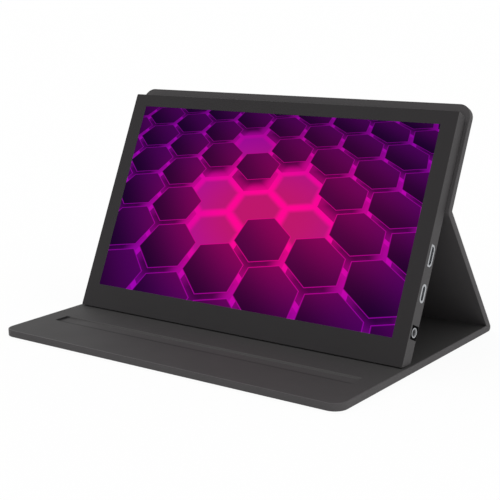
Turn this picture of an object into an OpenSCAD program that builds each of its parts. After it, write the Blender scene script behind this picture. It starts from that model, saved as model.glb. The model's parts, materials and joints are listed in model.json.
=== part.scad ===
// Portable monitor standing on its folding cover.
//
// The cover is one strip of three panels: the base that lies on the table, the leg that
// leans forward from the fold behind the base, and the upper panel that carries the monitor.
// Millimetres, +X to the right of the screen, +Y to the back, +Z up. The origin is the
// middle of the cover's footprint on the table.

/* [Picture and bezel] */
// Width of the lit picture
display_w = 223.6; // [216:0.2:232]
// Height of the lit picture
display_h = 125.8; // [121:0.2:135]
// Bezel at the left and right of the picture
bezel_side = 10.2; // [9.6:0.1:14]
// Bezel above the picture
bezel_top = 8.2; // [7.4:0.1:12]
// Bezel below the picture
bezel_bottom = 15.5; // [13:0.1:20]

/* [Monitor case] */
// Thickness of the monitor
monitor_t = 9.5; // [9.3:0.1:12]
// Wall of the rear shell
case_wall = 1.2; // [1:0.05:1.4]
// Thickness of the front bezel's plate
face_t = 1.2; // [1:0.05:1.4]
// Thickness of the bezel's lip over the glass
lip_t = 0.5; // [0.4:0.05:0.8]
// Radius of the monitor's upper corners, seen from the front
top_corner_r = 0.8; // [0.4:0.1:3]
// Radius of the monitor's lower corners, seen from the front
bottom_corner_r = 0.8; // [0.5:0.1:3]
// Radius of the upright rear edges
rear_edge_r = 0.4; // [0.3:0.1:1.1]
// How far the curved top drops towards the rear face
top_drop = 3.3; // [1:0.1:5]
// Flat strip at the front of the top, before the curve starts
top_flat = 0.8; // [0.4:0.1:2]
// Slope of the monitor's underside, from its front edge up to its rear face
underside_slope = 22; // [16:0.5:23]
// Radius of the rear lower edge that stands on the cover
foot_edge_r = 0.6; // [0.3:0.1:1]

/* [Panel module] */
// Glass cell with its polarisers
glass_t = 1; // [0.8:0.05:1.1]
// Diffuser sheets
films_t = 0.3; // [0.2:0.05:0.4]
// Light guide
guide_t = 0.6; // [0.5:0.05:0.7]
// Reflector sheet
reflector_t = 0.15; // [0.1:0.05:0.2]
// Sheet metal of the module's tray
tray_t = 0.25; // [0.15:0.05:0.3]
// How far the module reaches past the picture at the left and right
module_side = 3.2; // [2.6:0.1:3.6]
// How far the module reaches above the picture
module_above = 4.2; // [3:0.1:5]
// How far the module reaches below the picture
module_below = 8.5; // [7:0.1:9]
// Height of the light bar below the light guide
led_bar_h = 1.6; // [1.2:0.1:2]

/* [Sockets] */
// Sockets' middle line, behind the front face
socket_d = 5.35; // [5.2:0.05:5.5]
// Height of the mini video socket's middle
video_v = 65.3; // [63:0.1:68]
// Height of the power and data socket's middle
usb_v = 43.5; // [42:0.1:47]
// Height of the audio jack's middle
jack_v = 20.9; // [20.5:0.1:25]
// Length of the mini video socket's shell
video_l = 11.2; // [11:0.1:11.6]
// Height of the mini video socket's shell
video_h = 3.2; // [3:0.05:3.3]
// Length of the power and data socket's shell
usb_l = 8.94; // [8.9:0.02:9.2]
// Height of the power and data socket's shell
usb_h = 3.26; // [3.2:0.02:3.36]
// How far the bright rim stands out round the video shell
video_rim = 0.85; // [0.3:0.05:1]
// How far the bright rim stands out round the power and data shell
usb_rim = 1.05; // [0.3:0.05:1.2]
// Thickness of those rims
rim_t = 0.5; // [0.4:0.05:0.7]
// Sheet metal of the socket shells
shell_wall = 0.3; // [0.2:0.05:0.35]
// Depth of the socket shells
socket_depth = 7; // [6:0.5:9]
// Width of the jack's black face, from front to back
jack_face_w = 7.2; // [6.6:0.1:7.3]
// Height of the jack's black face
jack_face_h = 8; // [6.6:0.1:8.4]
// Depth of the audio jack's body
jack_depth = 11; // [9:0.5:14]
// Radius of the jack's bore for a 3.5 mm plug
jack_bore_r = 1.85; // [1.8:0.05:1.95]
// Outer radius of the jack's bright ring
jack_ring_r = 2.9; // [2.6:0.05:3]
// Width of the jack's bright ring
jack_ring_w = 0.6; // [0.4:0.05:0.7]

/* [Keys] */
// Length of each key
key_l = 8; // [6:0.5:9]
// Width of each key
key_w = 2.8; // [2:0.1:3.2]
// How far each key stands out of the left side
key_proud = 0.35; // [0.3:0.05:0.6]
// Travel of each key
key_travel = 0.25; // [0.2:0.05:0.3]
// From the monitor's top down to the highest key's middle
key_drop = 25.5; // [22:0.5:27]
// Distance between two keys' middles
key_pitch = 12; // [11:0.5:13]

/* [Electronics] */
// Width of the driver board
board_w = 60; // [50:1:66]
// Height of the driver board's lower edge
board_v = 16; // [15.5:0.1:16.5]
// Height of the driver board
board_h = 61; // [59.5:0.1:61.5]
// Thickness of the circuit boards
board_t = 1; // [0.8:0.05:1.1]
// Length of each speaker
speaker_l = 24; // [20:1:28]
// Height of each speaker
speaker_h = 11; // [9:0.5:12]
// Depth of each speaker
speaker_d = 3.4; // [3:0.1:4]
// Thickness of the steel plate that the cover's magnets hold
steel_t = 0.7; // [0.5:0.1:0.9]

/* [Cover] */
// Width of the cover
cover_w = 248.5; // [247:0.5:262]
// Thickness of each panel
panel_t = 4.4; // [4:0.1:6]
// Outer skin
skin_t = 0.8; // [0.6:0.05:1]
// Inner lining
lining_t = 0.8; // [0.6:0.05:1]
// Base, from its front edge to the fold behind it
base_l = 170.9; // [165:0.5:180]
// Leg, from fold to fold
leg_l = 94.6; // [90:0.2:105]
// Upper panel, from the fold to its top edge
upper_l = 62.8; // [56:0.2:75]
// Radius of the base's front corners and the upper panel's top corners
panel_corner_r = 8; // [4:0.5:14]
// Outer radius of the fold behind the base
back_fold_r = 2.4; // [1.5:0.1:4.4]
// Part of the base next to the fold that covers the monitor's edge when the cover is shut
spine_l = 11.8; // [10:0.1:14]
// Gap between the boards where the cover bends
crease = 2; // [1.5:0.1:3]
// Length of the channel pressed into the base
channel_l = 222; // [180:1:230]
// Width of the channel
channel_w = 10.5; // [8:0.5:14]
// Depth of the channel
channel_depth = 1; // [0.6:0.1:1.2]
// Middle of the channel, behind the base's front edge
channel_y = 38.4; // [34:0.2:46]

/* [Stand] */
// Lean of the screen from upright
stand_tilt = 25; // [24:0.5:28]
// Height on the monitor's back where the cover folds away from it
fold_v = 94.3; // [90:0.1:96.5]

/* [Magnets] */
// Radius of the magnets that hold the monitor
holding_magnet_r = 5; // [3:0.5:6]
// Radius of the magnets that hold the cover shut
closing_magnet_r = 4; // [3:0.5:5]
// Thickness of the magnets
magnet_t = 2; // [1.5:0.1:2.3]

/* [Clearances] */
// Monitor's foot above the lining
foot_gap = 0.2; // [0.1:0.05:0.4]
// Monitor's back from the upper panel's lining
back_gap = 0.15; // [0.1:0.05:0.3]
// Play round a fitted piece
play = 0.1; // [0.05:0.01:0.15]
// Play round each key
key_play = 0.15; // [0.1:0.01:0.2]

/* [Hidden] */
$fn = 48;
arc_steps = 8;
curve_steps = 12;
past = 1;

monitor_w = display_w + 2 * bezel_side;
monitor_h = bezel_bottom + display_h + bezel_top;
side_x = monitor_w / 2;
inner_x = side_x - case_wall;
inner_d = monitor_t - case_wall;

// Panel module, from the lip back to the tray
glass_d = lip_t;
films_d = glass_d + glass_t;
guide_d = films_d + films_t;
reflector_d = guide_d + guide_t;
tray_d = reflector_d + reflector_t;
module_back = tray_d + tray_t;
module_w = display_w + 2 * module_side;
module_v0 = bezel_bottom - module_below;
module_v1 = bezel_bottom + display_h + module_above;
cell_w = module_w - 2 * (tray_t + play);
cell_v0 = module_v0 + tray_t + play;
cell_v1 = module_v1 - tray_t - play;

// Driver board and its small screws
board_x1 = inner_x - 0.6;
board_x0 = board_x1 - board_w;
board_d = socket_d + usb_h / 2;
board_back = board_d + board_t;
board_screw_r = 0.8;
board_screw_head_r = 1.5;
board_screw_head_t = 0.6;
board_screw_inset = 4;
board_boss_r = 2.2;
board_screw_tip_d = inner_d + 0.5;

// Sockets: from the end of each contact tongue to the end of its shell
tongue_gap_video = 1.8;
tongue_gap_usb = 1.15;

// Audio jack
jack_body_l = 6.2;
jack_body_h = 4.6;
jack_ring_t = 0.8;

// Components on the driver board
scaler_x = board_x0 + 22;
scaler_v = board_v + 24;
scaler_w = 12;
scaler_t = 1.2;
coil_x = board_x0 + 8;
coil_v = board_v + 42;
coil_w = 4;
coil_t = 2;
coil_pitch = 6;
coil_count = 4;

// Ribbons and leads
ribbon_t = 0.3;
flex_w = 20;
flex_x = scaler_x - 7;
flex_v = board_v + 8;
key_ribbon_w = 3;
key_ribbon_x = coil_x - 2;
lead_w = 1.6;
lead_t = 0.8;
lead_v = board_v + board_h - 2;
lead_inset = 4;

// Keys, key board and switches
top_key_v = monitor_h - key_drop;
key_count = 3;
key_board_end = 6;
key_flange = 0.7;
key_flange_t = 0.7;
key_inner_x = -inner_x + play + key_flange_t;
switch_tip_x = key_inner_x + key_travel + 0.05;
switch_h = 1.5;
switch_stem = 0.3;
key_board_x = switch_tip_x + switch_h + switch_stem;
key_board_v0 = top_key_v - (key_count - 1) * key_pitch - key_board_end;
key_board_v1 = top_key_v + key_board_end;
key_board_d0 = module_back + ribbon_t + play;
key_ribbon_v = key_board_v0 + 0.5;

// Screws and their posts
post_r = 2.2;
post_x = inner_x - post_r - 0.6;
post_low_v = 12;
post_top_v = monitor_h - 9.5;
post_left_v = key_board_v0 - 10;
post_right_v = video_v + 17.9;
boss_r = 2.6;
boss_t = 1.2;
boss_d = inner_d - boss_t;
screw_r = 1;
screw_head_r = 1.9;
screw_head_t = 0.8;
screw_seat_d = monitor_t - screw_head_t - play;
screw_tip_d = face_t + 1.8;
cross_l = 2.4;
cross_w = 0.4;
cross_depth = 0.4;
pilot_r = screw_r + 0.05;

// Speakers, above the driver board
speaker_side = 10;
speaker_x = side_x - speaker_side - speaker_l;
speaker_v = board_v + board_h + 2;
speaker_front_d = inner_d - speaker_d;
speaker_rim = 1.4;
slot_w = 1;
slot_h = speaker_h - 4;
slot_pitch = 3;
slot_count = 5;

// Steel plate behind the upper panel's magnets
steel_w = 180;
steel_v0 = fold_v + 4;
steel_v1 = monitor_h - 8;

// Cover panels
board_layer_t = panel_t - skin_t - lining_t;
lining_z = panel_t - lining_t;
magnet_z = lining_z - magnet_t;
holding_magnet_xs = [-75, -25, 25, 75];
holding_magnet_ys = [14, 36];
closing_magnet_xs = [-105, -35, 35, 105];
closing_magnet_y = base_l - 14;

// The rear lower edge stands on the lining, and sets the height of the monitor's front edge
foot_centre = edge_centre([0, 0], [monitor_t, floor_v(monitor_t)], [monitor_t, monitor_h], foot_edge_r);
stand_z = panel_t + foot_gap + foot_edge_r
    + foot_centre[0] * sin(stand_tilt) - foot_centre[1] * cos(stand_tilt);

// The upper panel's outer face ends at the middle fold, and the leg closes the triangle
back_d = monitor_t + back_gap + panel_t;
mid_z = stand_z + fold_v * cos(stand_tilt) - back_d * sin(stand_tilt);
leg_lean = asin((mid_z - panel_t) / norm([leg_l, panel_t])) - atan2(panel_t, leg_l);
back_fold_angle = 180 - leg_lean;
mid_fold_angle = 90 - leg_lean + stand_tilt;
fold_reach = back_fold_r + (panel_t - back_fold_r) * tan(back_fold_angle / 2);
fold_y = (base_l - fold_reach) / 2;
mid_y = fold_y - leg_l * cos(leg_lean) + panel_t * sin(leg_lean);
stand_y = mid_y - fold_v * sin(stand_tilt) - back_d * cos(stand_tilt);

echo(stand_y = stand_y, stand_z = stand_z, mid_y = mid_y, mid_z = mid_z, fold_y = fold_y);
echo(leg_lean = leg_lean, back_fold_angle = back_fold_angle, mid_fold_angle = mid_fold_angle);

// ---- Outlines ----

function unit(v) = v / norm(v);

// Middle of the arc that rounds corner b, between its neighbours a and c
function edge_centre(a, b, c, r) =
    let (u = unit(a - b), w = unit(c - b), half = acos(u * w) / 2)
    b + unit(u + w) * r / sin(half);

// Points along that arc
function edge_arc(a, b, c, r) =
    r <= 0 ? [b] :
    let (m = edge_centre(a, b, c, r), u = unit(a - b), reach = (m - b) * u,
         from = b + u * reach - m, to = b + unit(c - b) * reach - m,
         start = atan2(from[1], from[0]),
         turn = atan2(from[0] * to[1] - from[1] * to[0], from * to))
    [for (k = [0:arc_steps]) m + r * [cos(start + turn * k / arc_steps), sin(start + turn * k / arc_steps)]];

// An outline with each corner rounded to its own radius
function rounded(corners, radii) =
    let (n = len(corners))
    [for (i = [0:n - 1]) each
        edge_arc(corners[(i + n - 1) % n], corners[i], corners[(i + 1) % n], radii[i])];

// A rectangle about the middle of X, from y0 to y1
function strip(w, y0, y1) = [[-w / 2, y0], [w / 2, y0], [w / 2, y1], [-w / 2, y1]];

// Underside of the monitor at depth d, moved in by inset
function floor_v(d, inset = 0) = d * tan(underside_slope) + inset / cos(underside_slope);

// Side view of the monitor as depth and height, moved in by inset
function side_outline(inset) =
    let (back = monitor_t - inset, top = monitor_h - inset, run = monitor_t - top_flat - inset)
    concat([[0, floor_v(0, inset)]],
        edge_arc([0, floor_v(0, inset)], [back, floor_v(back, inset)], [back, top],
            max(foot_edge_r - inset, 0)),
        [for (k = [0:curve_steps]) let (a = 90 * k / curve_steps)
            [top_flat + run * cos(a), top - top_drop * (1 - sin(a))]],
        [[0, top]]);

// End view of the mini video socket as depth and height, moved out by grow
function video_outline(grow) =
    let (h = video_h / 2 + grow, l = video_l / 2 + grow, cut = video_h * 0.4 + grow * 0.6)
    [[-h, -l], [h - cut, -l], [h, -l + cut], [h, l - cut], [h - cut, l], [-h, l]];

// End view of the power and data socket, moved out by grow
function usb_outline(grow) =
    let (h = usb_h / 2 + grow, l = usb_l / 2 + grow, r = h - 0.02)
    rounded([[-h, -l], [h, -l], [h, l], [-h, l]], [r, r, r, r]);

// End view of a key, moved out by grow
function key_outline(grow) =
    let (h = key_w / 2 + grow, l = key_l / 2 + grow, r = h - 0.02)
    rounded([[-h, -l], [h, -l], [h, l], [-h, l]], [r, r, r, r]);

// ---- Places ----

module on_base() {
    translate([0, fold_y, 0]) mirror([0, 1, 0]) children();
}

module on_leg() {
    translate([0, fold_y, panel_t]) rotate([back_fold_angle, 0, 0])
        translate([0, 0, -panel_t]) children();
}

// The monitor's own frame: X to the right, Y back from the front face, Z up the screen
module on_stand() {
    translate([0, stand_y, stand_z]) rotate([-stand_tilt, 0, 0]) children();
}

module on_upper() {
    on_stand() translate([0, back_d, fold_v]) rotate([90, 0, 0]) children();
}

// Extrudes an outline of depth and height along X, from x0 to x1
module along_x(x0, x1) {
    translate([x0, 0, 0]) rotate([90, 0, 90]) linear_extrude(x1 - x0) children();
}

// Extrudes an outline of width and height back from d0 to d1
module along_d(d0, d1) {
    translate([0, d1, 0]) rotate([90, 0, 0]) linear_extrude(d1 - d0) children();
}

// A round rod that runs back from d0 to d1
module rod(x, v, r, d0, d1) {
    translate([x, d0, v]) rotate([-90, 0, 0]) cylinder(r = r, h = d1 - d0);
}

// A box between two corners
module block(low, high) {
    translate(low) cube(high - low);
}

// A plate about the middle of X
module plate(w, v0, v1, d0, d1) {
    block([-w / 2, d0, v0], [w / 2, d1, v1]);
}

// ---- Cover panels, outer face down, the fold at y = 0 ----

module panel_outline(inset, y0, y1, corner_r) {
    r = max(corner_r - inset, 0);
    polygon(rounded(strip(cover_w - 2 * inset, y0, y1), [0, 0, r, r]));
}

// Skin that is wrapped up the free edges
module panel_skin(length, corner_r, far_wall) {
    difference() {
        linear_extrude(panel_t) panel_outline(0, 0, length, corner_r);
        translate([0, 0, skin_t]) linear_extrude(panel_t)
            panel_outline(skin_t, -past, length + (far_wall ? -skin_t : past), corner_r);
    }
}

module panel_board(y0, y1, corner_r) {
    translate([0, 0, skin_t]) linear_extrude(board_layer_t)
        panel_outline(skin_t, y0, y1, corner_r);
}

module panel_lining(length, corner_r) {
    translate([0, 0, lining_z]) linear_extrude(lining_t)
        panel_outline(skin_t, 0, length, corner_r);
}

module channel(grow, z0, z1) {
    y = base_l - channel_y;
    block([-channel_l / 2 - grow, y - channel_w / 2 - grow, z0],
        [channel_l / 2 + grow, y + channel_w / 2 + grow, z1]);
}

module closing_discs(grow) {
    for (x = closing_magnet_xs)
        translate([x, closing_magnet_y, magnet_z - grow])
            cylinder(r = closing_magnet_r + grow, h = magnet_t + 2 * grow);
}

module holding_discs(grow) {
    for (x = holding_magnet_xs, y = holding_magnet_ys)
        translate([x, y, magnet_z - grow])
            cylinder(r = holding_magnet_r + grow, h = magnet_t + 2 * grow);
}

module base_skin() {
    color("#3f3e3f") on_base() panel_skin(base_l, panel_corner_r, true);
}

module base_lining() {
    color("#474647") on_base() difference() {
        union() {
            panel_lining(base_l - skin_t, panel_corner_r);
            channel(lining_t, lining_z - channel_depth, lining_z);
        }
        channel(0, panel_t - channel_depth, panel_t + past);
    }
}

module front_board() {
    color("#8d7f6c") on_base() difference() {
        panel_board(spine_l + crease / 2, base_l - skin_t, panel_corner_r);
        channel(lining_t + play, lining_z - channel_depth - play, lining_z + past);
        closing_discs(play);
    }
}

module spine_board() {
    color("#8d7f6c") on_base() panel_board(crease / 2, spine_l - crease / 2, 0);
}

module closing_magnets() {
    color("silver") on_base() closing_discs(0);
}

module leg_skin() {
    color("#3f3e3f") on_leg() panel_skin(leg_l, 0, false);
}

module leg_lining() {
    color("#474647") on_leg() panel_lining(leg_l, 0);
}

module leg_board() {
    color("#8d7f6c") on_leg() panel_board(crease / 2, leg_l - crease / 2, 0);
}

module upper_skin() {
    color("#3f3e3f") on_upper() panel_skin(upper_l, panel_corner_r, true);
}

module upper_lining() {
    color("#474647") on_upper() panel_lining(upper_l - skin_t, panel_corner_r);
}

module upper_board() {
    color("#8d7f6c") on_upper() difference() {
        panel_board(crease / 2, upper_l - skin_t, panel_corner_r);
        holding_discs(play);
    }
}

module holding_magnets() {
    color("silver") on_upper() holding_discs(0);
}

// Each soft fold fills the wedge between two panels' ends, round the line that they share

// The outer faces run on behind the fold's line and meet in a rounded corner
module back_fold() {
    leg_end = panel_t * [sin(back_fold_angle), -cos(back_fold_angle)];
    corner = panel_t * [tan(back_fold_angle / 2), -1];
    color("#3f3e3f") translate([0, fold_y, panel_t]) along_x(-cover_w / 2, cover_w / 2)
        polygon(rounded([[0, 0], [0, -panel_t], corner, leg_end], [0, 0, back_fold_r, 0]));
}

// The outer faces meet in a crease, and the lining goes round it
module mid_fold() {
    color("#3f3e3f") translate([-cover_w / 2, mid_y, mid_z])
        rotate([90, 0, 90]) rotate([0, 0, 180 - stand_tilt])
            rotate_extrude(angle = mid_fold_angle, $fn = 96) square([panel_t, cover_w]);
}

// ---- Monitor case ----

// The monitor's outer form, moved in by inset, between two depths
module case_form(inset, d0, d1) {
    side_r = max(rear_edge_r - inset, 0);
    top_r = max(top_corner_r - inset, 0);
    bottom_r = max(bottom_corner_r - inset, 0);
    intersection() {
        along_d(d0, d1)
            polygon(rounded(strip(monitor_w - 2 * inset, 0, monitor_h - inset),
                [bottom_r, bottom_r, top_r, top_r]));
        along_x(-side_x, side_x) polygon(side_outline(inset));
        linear_extrude(monitor_h)
            polygon(rounded(strip(monitor_w - 2 * inset, -past, monitor_t - inset),
                [0, 0, side_r, side_r]));
    }
}

module at_posts() {
    for (side = [-1, 1], v = [post_low_v, side < 0 ? post_left_v : post_right_v, post_top_v])
        translate([side * post_x, 0, v]) children();
}

module at_board_screws() {
    for (x = [board_x0 + board_screw_inset, board_x1 - board_screw_inset - jack_depth],
         v = [board_v + board_screw_inset, board_v + board_h - board_screw_inset])
        translate([x, 0, v]) children();
}

// Key 0 is the highest
module at_keys(which = [0:key_count - 1]) {
    for (k = which) translate([0, socket_d, top_key_v - k * key_pitch]) children();
}

// Locating ridge behind the bezel's plate, inside the shell's walls
module locating_ridge() {
    ridge_w = 0.8;
    jack_gap = 0.5;
    ridge_d = face_t + 1;
    out_x = inner_x - play;
    low = floor_v(ridge_d, case_wall) + 0.3;
    high = monitor_h - case_wall - 0.4;
    difference() {
        plate(2 * out_x, low, high, face_t - lip_t, ridge_d);
        plate(2 * (out_x - ridge_w), low + ridge_w, high - ridge_w, 0, ridge_d + past);
        block([out_x - 2 * ridge_w, 0, jack_v - jack_face_h / 2 - jack_gap],
            [side_x, ridge_d + past, jack_v + jack_face_h / 2 + jack_gap]);
    }
}

module front_bezel() {
    color("#363435") on_stand() difference() {
        union() {
            difference() {
                case_form(0, 0, face_t);
                plate(module_w + 2 * play, module_v0 - play, module_v1 + play, lip_t, face_t + past);
            }
            locating_ridge();
            at_posts() rod(0, 0, post_r, face_t - lip_t, boss_d);
        }
        plate(display_w, bezel_bottom, bezel_bottom + display_h, -past, face_t + past);
        at_posts() rod(0, 0, pilot_r, screw_tip_d - 2 * play, boss_d + past);
    }
}

// Cut-out in the right side for a socket and its rim
module socket_cut(v) {
    translate([0, socket_d, v]) {
        along_x(side_x - rim_t - play, side_x + past) children(0);
        along_x(inner_x - past, side_x) children(1);
    }
}

module rear_shell() {
    color("#525051") on_stand() difference() {
        union() {
            difference() {
                case_form(0, face_t, monitor_t);
                case_form(case_wall, 0, inner_d);
            }
            at_posts() rod(0, 0, boss_r, boss_d, inner_d + case_wall / 2);
            at_board_screws() rod(0, 0, board_boss_r, board_back, inner_d + case_wall / 2);
        }
        at_posts() rod(0, 0, screw_r + play, boss_d - past, monitor_t);
        at_posts() rod(0, 0, screw_head_r + play, screw_seat_d, monitor_t + past);
        at_board_screws() rod(0, 0, board_screw_r + play / 2, board_back - past, board_screw_tip_d + play);
        socket_cut(video_v) {
            polygon(video_outline(video_rim + play));
            polygon(video_outline(play));
        }
        socket_cut(usb_v) {
            polygon(usb_outline(usb_rim + play));
            polygon(usb_outline(play));
        }
        jack_block(inner_x - past, side_x + past, jack_face_w + 2 * play, jack_face_h + 2 * play);
        at_keys() along_x(-side_x - past, -inner_x + past) polygon(key_outline(key_play));
        for (side = [-1, 1], k = [0:slot_count - 1])
            translate([side * (speaker_x + speaker_l / 2) + (k - (slot_count - 1) / 2) * slot_pitch,
                0, speaker_v + speaker_h / 2])
                block([-slot_w / 2, inner_d - past, -slot_h / 2],
                    [slot_w / 2, monitor_t + past, slot_h / 2]);
    }
}

module case_screws() {
    color("dimgray") on_stand() at_posts() difference() {
        union() {
            rod(0, 0, screw_r, screw_tip_d, screw_seat_d + play);
            rod(0, 0, screw_head_r, screw_seat_d, screw_seat_d + screw_head_t);
        }
        for (turn = [0, 90]) rotate([0, turn, 0])
            block([-cross_l / 2, screw_seat_d + screw_head_t - cross_depth, -cross_w / 2],
                [cross_l / 2, screw_seat_d + screw_head_t + past, cross_w / 2]);
    }
}

module steel_plate() {
    color("#9a9c9f") on_stand() plate(steel_w, steel_v0, steel_v1, inner_d - steel_t, inner_d);
}

// ---- Panel module ----

module glass_cell() {
    color("#2a0a3a") on_stand() plate(cell_w, cell_v0, cell_v1, glass_d, films_d);
}

module diffuser_sheets() {
    color("white") on_stand() plate(cell_w, cell_v0, cell_v1, films_d, guide_d);
}

module light_guide() {
    color("#dfe8ea") on_stand()
        plate(cell_w, cell_v0 + led_bar_h + play, cell_v1, guide_d, reflector_d);
}

module led_bar() {
    color("#f0efe2") on_stand() plate(cell_w - 4, cell_v0, cell_v0 + led_bar_h, guide_d, reflector_d);
}

module reflector_sheet() {
    color("whitesmoke") on_stand() plate(cell_w, cell_v0, cell_v1, reflector_d, tray_d);
}

module module_tray() {
    color("#b9bcc0") on_stand() difference() {
        plate(module_w, module_v0, module_v1, glass_d, module_back);
        plate(module_w - 2 * tray_t, module_v0 + tray_t, module_v1 - tray_t, 0, tray_d);
    }
}

// ---- Electronics ----

module driver_board() {
    color("#1f5a3a") on_stand() difference() {
        union() {
            block([board_x0, board_d, board_v], [board_x1, board_back, board_v + board_h]);
            block([scaler_x, board_d - scaler_t, scaler_v],
                [scaler_x + scaler_w, board_d, scaler_v + scaler_w]);
            for (k = [0:coil_count - 1])
                block([coil_x + k * coil_pitch, board_d - coil_t, coil_v],
                    [coil_x + k * coil_pitch + coil_w, board_d, coil_v + coil_w]);
        }
        jack_block(board_x1 - jack_depth - past, board_x1 + past,
            jack_body_l + 4 * play, jack_body_l + 2 * play);
        at_board_screws() rod(0, 0, board_screw_r + play, board_d - past, board_back + past);
    }
}

module board_screws() {
    color("silver") on_stand() at_board_screws() {
        rod(0, 0, board_screw_r, board_d - play, board_screw_tip_d);
        rod(0, 0, board_screw_head_r, board_d - board_screw_head_t, board_d);
    }
}

// Ribbon that bends round the module's lower edge and rises to the driver board
module panel_flex() {
    x1 = flex_x + flex_w;
    low = module_v0 - ribbon_t;
    color("#b5772a") on_stand() {
        block([flex_x, face_t + play, low], [x1, module_back + ribbon_t, module_v0]);
        block([flex_x, module_back, low], [x1, module_back + ribbon_t, flex_v]);
        block([flex_x, module_back, flex_v - ribbon_t], [x1, board_d, flex_v]);
    }
}

// A socket's shell: a tube that runs in from the right side, with a rim at its mouth
module socket_shell(v) {
    translate([0, socket_d, v]) difference() {
        union() {
            along_x(side_x - socket_depth, side_x) children(0);
            along_x(side_x - rim_t, side_x) children(1);
        }
        along_x(side_x - socket_depth - past, side_x + past) children(2);
    }
}

// The insulator that closes the shell's rear, with the contact tongue in its middle
module socket_tongue(v, tongue_l) {
    tongue_t = 0.7;
    tongue_back = 1.2;
    insulator_t = 1.5;
    rear_x = side_x - socket_depth;
    translate([0, socket_d, v]) {
        along_x(rear_x, rear_x + insulator_t) children();
        block([rear_x + insulator_t / 2, -tongue_t / 2, -tongue_l / 2],
            [side_x - tongue_back, tongue_t / 2, tongue_l / 2]);
    }
}

module video_shell() {
    color("#c9cccf") on_stand() socket_shell(video_v) {
        polygon(video_outline(0));
        polygon(video_outline(video_rim));
        polygon(video_outline(-shell_wall));
    }
}

module video_tongue() {
    color("#232323") on_stand() socket_tongue(video_v, video_l - 2 * tongue_gap_video)
        polygon(video_outline(-shell_wall));
}

module usb_shell() {
    color("#c9cccf") on_stand() socket_shell(usb_v) {
        polygon(usb_outline(0));
        polygon(usb_outline(usb_rim));
        polygon(usb_outline(-shell_wall));
    }
}

module usb_tongue() {
    color("#232323") on_stand() socket_tongue(usb_v, usb_l - 2 * tongue_gap_usb)
        polygon(usb_outline(-shell_wall));
}

// A box about the jack's middle line
module jack_block(x0, x1, size_d, size_v) {
    block([x0, socket_d - size_d / 2, jack_v - size_v / 2],
        [x1, socket_d + size_d / 2, jack_v + size_v / 2]);
}

module audio_jack() {
    color("#0b0b0b") on_stand() difference() {
        union() {
            jack_block(inner_x + play, side_x, jack_face_w, jack_face_h);
            jack_block(side_x - jack_depth, inner_x + play, jack_body_h, jack_body_l);
        }
        translate([side_x - jack_depth - past, socket_d, jack_v]) rotate([0, 90, 0])
            cylinder(r = jack_bore_r, h = jack_depth + 2 * past);
        translate([side_x - jack_ring_t, socket_d, jack_v]) rotate([0, 90, 0])
            cylinder(r = jack_ring_r + play / 2, h = jack_ring_t + past);
    }
}

module jack_ring() {
    color("#c9cccf") on_stand() translate([side_x - jack_ring_t, socket_d, jack_v]) rotate([0, 90, 0])
        difference() {
            cylinder(r = jack_ring_r, h = jack_ring_t);
            translate([0, 0, -past]) cylinder(r = jack_ring_r - jack_ring_w, h = jack_ring_t + 2 * past);
        }
}

// ---- Keys on the left side ----

module key_board() {
    color("#1f5a3a") on_stand()
        block([key_board_x, key_board_d0, key_board_v0], [key_board_x + board_t, inner_d, key_board_v1]);
}

module key_switches() {
    switch_l = 4.5;
    switch_w = 3.2;
    stem_l = 2;
    stem_w = 1.2;
    color("#d7d7d7") on_stand() at_keys() {
        block([switch_tip_x + switch_stem, -switch_w / 2, -switch_l / 2],
            [key_board_x, switch_w / 2, switch_l / 2]);
        block([switch_tip_x, -stem_w / 2, -stem_l / 2],
            [switch_tip_x + switch_stem, stem_w / 2, stem_l / 2]);
    }
}

module key_ribbon() {
    v1 = key_ribbon_v + key_ribbon_w;
    x1 = key_ribbon_x + key_ribbon_w;
    low = board_v + board_h - 2 * key_ribbon_w;
    back = module_back + ribbon_t;
    left = key_board_x + board_t;
    color("#b5772a") on_stand() {
        block([left, module_back, key_ribbon_v], [left + ribbon_t, module_back + key_ribbon_w / 2, v1]);
        block([left, module_back, key_ribbon_v], [x1, back, v1]);
        block([key_ribbon_x, module_back, low], [x1, back, v1]);
        block([key_ribbon_x, module_back, low], [x1, board_d, low + ribbon_t]);
    }
}

// A key: its cap in the shell's hole, and a flange that keeps it in
module key(k) {
    on_stand() at_keys([k]) {
        along_x(-side_x - key_proud, key_inner_x) polygon(key_outline(0));
        along_x(-inner_x + play, key_inner_x) polygon(key_outline(key_flange));
    }
}

module power_key() {
    color("#2b2a2b") key(0);
}

module plus_key() {
    color("#2b2a2b") key(1);
}

module minus_key() {
    color("#2b2a2b") key(2);
}

// ---- Speakers ----

module speaker(side) {
    l = speaker_l / 2;
    h = speaker_h / 2;
    on_stand() translate([side * (speaker_x + l), 0, speaker_v + h]) difference() {
        block([-l, speaker_front_d, -h], [l, inner_d, h]);
        block([-l + 2 * speaker_rim, inner_d - speaker_rim, -h + speaker_rim],
            [l - 2 * speaker_rim, inner_d + past, h - speaker_rim]);
    }
}

module speaker_left() {
    color("#2b2a2b") speaker(-1);
}

module speaker_right() {
    color("#2b2a2b") speaker(1);
}

// Flat leads from each speaker's lower edge to the driver board
module speaker_leads() {
    left = -speaker_x - lead_inset;
    right = board_x0 + lead_w / 4;
    speaker_lead_x = speaker_x + speaker_l / 2;
    color("#b02a2a") on_stand() {
        block([left, module_back, lead_v], [right + lead_w, module_back + lead_t, lead_v + lead_w]);
        block([left, module_back, lead_v], [left + lead_w, speaker_front_d + lead_t, speaker_v]);
        block([right, module_back, lead_v], [right + lead_w, board_d, lead_v + lead_w]);
        block([speaker_lead_x, board_d - lead_t, lead_v - lead_inset],
            [speaker_lead_x + lead_w, board_d, speaker_v]);
    }
}

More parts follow.
